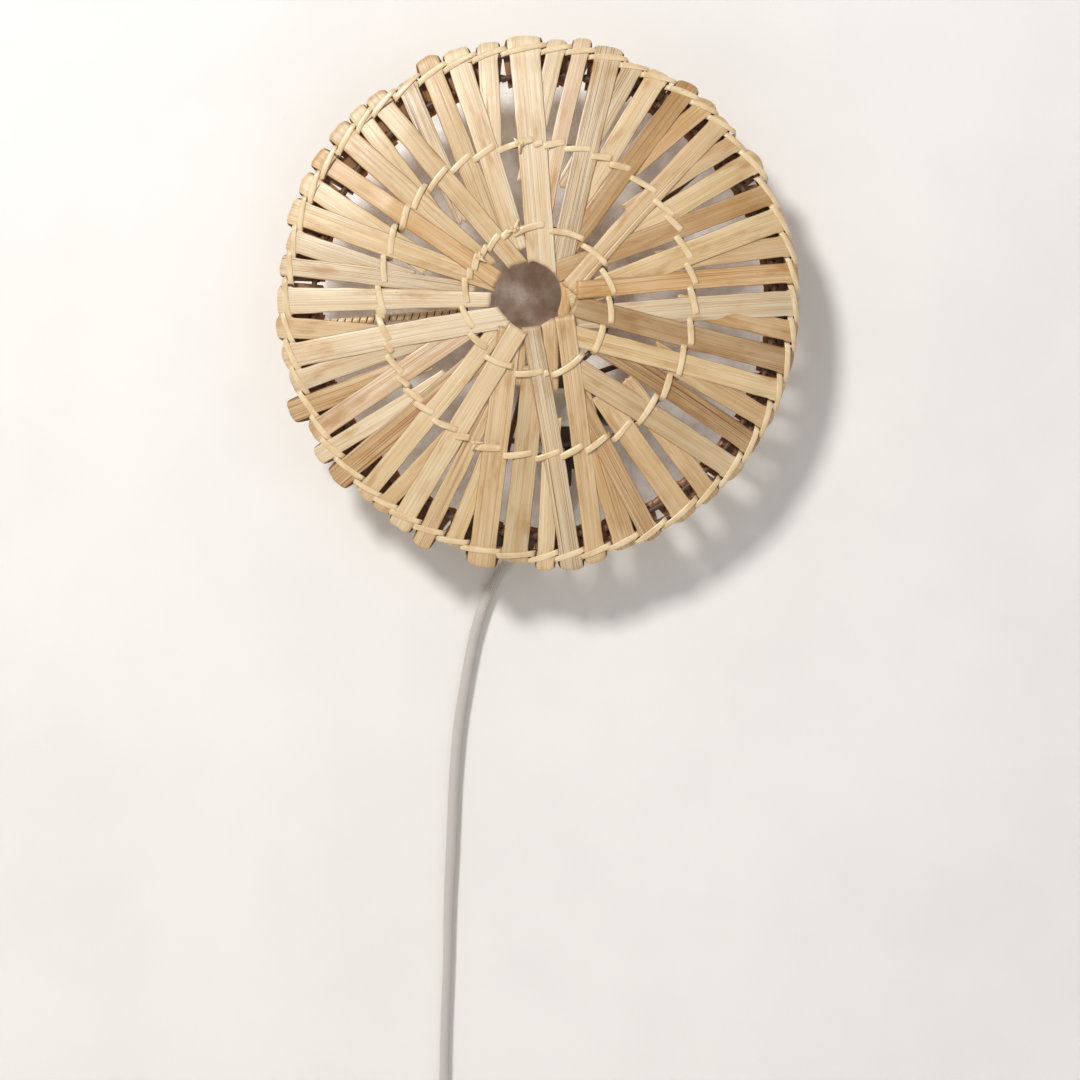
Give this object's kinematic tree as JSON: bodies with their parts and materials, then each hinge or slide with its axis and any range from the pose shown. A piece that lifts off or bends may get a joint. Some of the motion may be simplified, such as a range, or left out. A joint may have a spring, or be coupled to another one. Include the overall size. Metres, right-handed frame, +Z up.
{
  "type": "woven wall lamp",
  "caption": "Plug-in wall lamp: a flat round shade of folded split-bamboo splints lashed to wire hoops, held off the wall, with a textile flex, inline switch and plug.",
  "frame": {"origin": "centre of the wall plate's back face, on the wall", "axes": "+Y into the wall, +Z up, +X to the right as seen from the front; the shade faces -Y"},
  "size_m": [0.3756, 0.0789, 1.0174],
  "materials": {
    "splint_pale": "matt split bamboo, pale",
    "splint_straw": "matt split bamboo, straw",
    "splint_tan": "matt split bamboo, tan",
    "splint_honey": "matt split bamboo, honey",
    "binder": "satin cane skin",
    "hoop_wire": "brown lacquered wire",
    "dark_steel": "satin dark brown paint",
    "bakelite": "moulded dark brown plastic",
    "insert_ceramic": "unglazed ceramic",
    "terminal_plastic": "natural nylon",
    "bulb_glass": "opal glass",
    "bulb_cap": "satin rolled thread",
    "flex_textile": "braided off-white textile",
    "tie_fabric": "woven tape",
    "switch_shell": "satin white moulding",
    "rocker": "satin white moulding",
    "plug_plastic": "satin white moulding",
    "pin_nickel": "nickel plated"
  },
  "bodies": {
    "root": {"coil_tie": "tie_fabric", "cord_grip": "bakelite", "flex": "flex_textile", "flex_coil": "flex_textile", "hidden_spokes": "hoop_wire", "inner_hoop": "hoop_wire", "inner_lashing": "binder", "lampholder_arm": "dark_steel", "lampholder_insert": "insert_ceramic", "lampholder_shell": "bakelite", "middle_hoop": "hoop_wire", "middle_lashing": "binder", "plug_body": "plug_plastic", "plug_pins": "pin_nickel", "rim_hoop": "hoop_wire", "rim_lashing": "binder", "splints_01_02": "splint_pale", "splints_03_04": "splint_straw", "splints_05_06": "splint_tan", "splints_07_08": "splint_honey", "splints_09_10": "splint_pale", "splints_11_12": "splint_straw", "splints_13_14": "splint_tan", "splints_15_16": "splint_honey", "splints_17_18": "splint_pale", "splints_19_20": "splint_straw", "splints_21_22": "splint_tan", "splints_23_24": "splint_honey", "splints_25_26": "splint_pale", "splints_27_28": "splint_straw", "splints_29_30": "splint_tan", "splints_31_32": "splint_honey", "splints_33_34": "splint_pale", "splints_35_36": "splint_straw", "splints_37_38": "splint_tan", "splints_39_40": "splint_honey", "splints_41_42": "splint_pale", "splints_43_44": "splint_straw", "splints_45_46": "splint_tan", "splints_47_48": "splint_honey", "splints_49_50": "splint_pale", "splints_51_52": "splint_straw", "splints_53_54": "splint_tan", "splints_55_56": "splint_honey", "spoke_wrapping": "binder", "stay_left": "dark_steel", "stay_right": "dark_steel", "stay_top": "dark_steel", "switch_base": "switch_shell", "switch_cover": "switch_shell", "tail_hoop": "hoop_wire", "tail_lashing": "binder", "terminal_block": "terminal_plastic", "wall_cup": "dark_steel", "wall_plate": "dark_steel", "wrapped_spoke": "hoop_wire"},
    "rocker": {"switch_rocker": "rocker"},
    "bulb": {"bulb_glass": "bulb_glass", "bulb_cap": "bulb_cap"}
  },
  "joints": [
    {"name": "rocker_tilt", "type": "hinge", "parent": "root", "child": "rocker", "pos_m": [-0.086, -0.0165, -0.541], "axis": [1, 0, 0], "range_deg": [-16, 0]},
    {"name": "bulb_turn", "type": "hinge", "parent": "root", "child": "bulb", "pos_m": [0.02, -0.042, 0], "axis": [1, 0, 0], "continuous": true}
  ]
}
